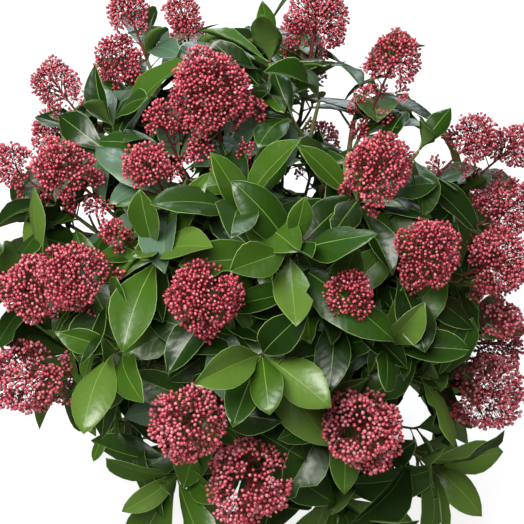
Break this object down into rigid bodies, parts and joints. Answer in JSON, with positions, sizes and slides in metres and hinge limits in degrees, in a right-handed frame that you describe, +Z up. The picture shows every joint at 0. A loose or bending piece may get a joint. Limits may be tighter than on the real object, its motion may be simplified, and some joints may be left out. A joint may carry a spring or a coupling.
{
  "type": "skimmia shrub in bud",
  "caption": "Globe-shaped evergreen shrub on one short stem, with leathery leaves in whorls and domed heads of red flower buds. Fixed in the ground at its foot.",
  "frame": {"origin": "centre of the flat cut under the trunk, at ground level", "axes": "+Z up; -Y is the front that the picture shows; +X to the right as seen from the front"},
  "size_m": [0.5564, 0.5488, 0.5473],
  "materials": {
    "bark": "rough grey-brown bark",
    "green_bark": "smooth green-brown young bark with leaf scars",
    "foliage": "glossy leathery green leaves with a pale margin",
    "flower_bud": "satin crimson buds",
    "flower_stalk": "satin dark maroon stalks"
  },
  "bodies": {
    "root": {"trunk": "bark", "leader": "green_bark", "main_bough_1": "green_bark", "main_bough_2": "green_bark", "main_bough_3": "green_bark", "main_bough_4": "green_bark", "main_bough_5": "green_bark", "main_bough_6": "green_bark", "side_bough_1": "green_bark", "side_bough_2": "green_bark", "side_bough_3": "green_bark", "side_bough_4": "green_bark", "side_bough_5": "green_bark", "side_bough_6": "green_bark", "skirt_bough_1": "green_bark", "skirt_bough_2": "green_bark", "skirt_bough_3": "green_bark", "skirt_bough_4": "green_bark", "skirt_bough_5": "green_bark", "skirt_bough_6": "green_bark", "mass_top": "foliage", "main_mass_1": "foliage", "main_mass_2": "foliage", "main_mass_3": "foliage", "main_mass_4": "foliage", "main_mass_5": "foliage", "main_mass_6": "foliage", "side_mass_1": "foliage", "side_mass_2": "foliage", "side_mass_3": "foliage", "side_mass_4": "foliage", "side_mass_5": "foliage", "side_mass_6": "foliage", "skirt_mass_1": "foliage", "skirt_mass_2": "foliage", "skirt_mass_3": "foliage", "skirt_mass_4": "foliage", "skirt_mass_5": "foliage", "skirt_mass_6": "foliage"}
  },
  "joints": []
}
